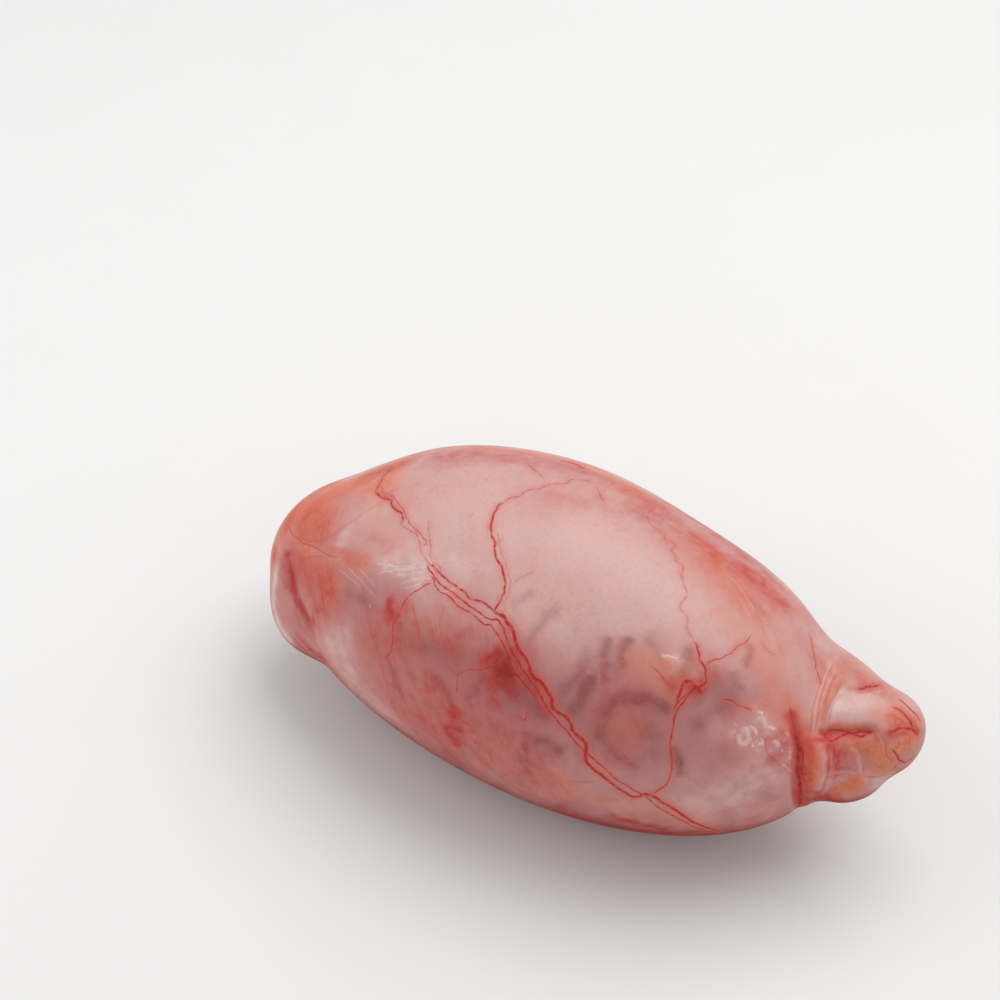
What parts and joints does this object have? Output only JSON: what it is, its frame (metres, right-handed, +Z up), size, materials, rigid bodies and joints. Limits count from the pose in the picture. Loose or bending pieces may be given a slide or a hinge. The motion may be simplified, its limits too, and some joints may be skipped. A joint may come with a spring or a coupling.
{
  "type": "beef testicle",
  "caption": "Raw beef testicle, trimmed: a long egg-shaped lobe of flesh lying on its side, with a rounded cap at one end and a puckered neck and small lobed tail at the other.",
  "frame": {"origin": "middle of the footprint box, on the plane that the part rests on", "axes": "+X along the body from the head end to the tail, -Y the side that the picture shows, +Z up"},
  "size_m": [0.144, 0.0732, 0.0655],
  "materials": {
    "wet_membrane": "wet glossy membrane over soft pink flesh, with fine red vessels"
  },
  "bodies": {
    "root": {"testicle": "wet_membrane"}
  },
  "joints": []
}
